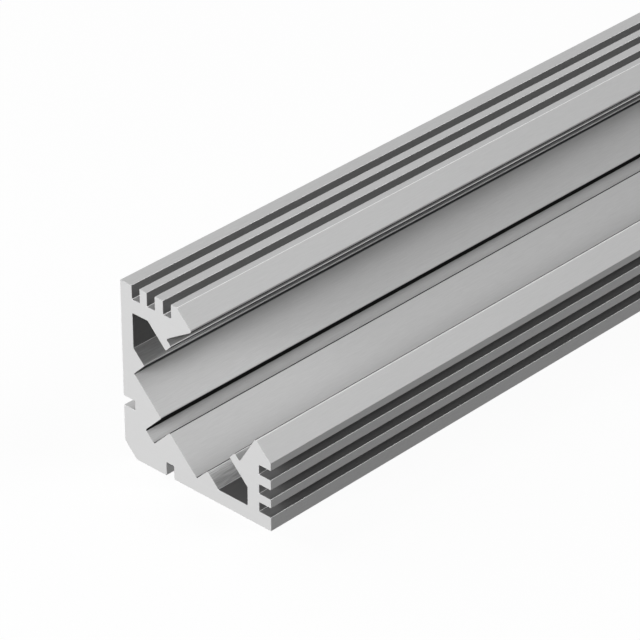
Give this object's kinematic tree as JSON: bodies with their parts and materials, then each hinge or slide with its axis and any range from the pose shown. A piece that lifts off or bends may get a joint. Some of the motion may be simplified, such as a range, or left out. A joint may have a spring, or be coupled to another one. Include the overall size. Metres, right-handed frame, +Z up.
{
  "type": "corner led strip profile",
  "caption": "Extruded aluminium corner profile with finned leg ends, a sunken 45 degree floor for an LED strip, side cavities and lips that hold a diffuser cover.",
  "frame": {"origin": "centre of the bounding box at the level of the bottom outer face, at mid length", "axes": "+Y along the extrusion, +X from the back wall face towards the room, +Z up; one leg lies on the floor, the other stands at low X, and the strip floor faces +X+Z"},
  "size_m": [0.03, 1, 0.03],
  "materials": {
    "anodised_aluminium": "satin clear anodised, with fine lengthwise extrusion lines and saw-cut ends"
  },
  "bodies": {
    "root": {"corner_profile": "anodised_aluminium"}
  },
  "joints": []
}
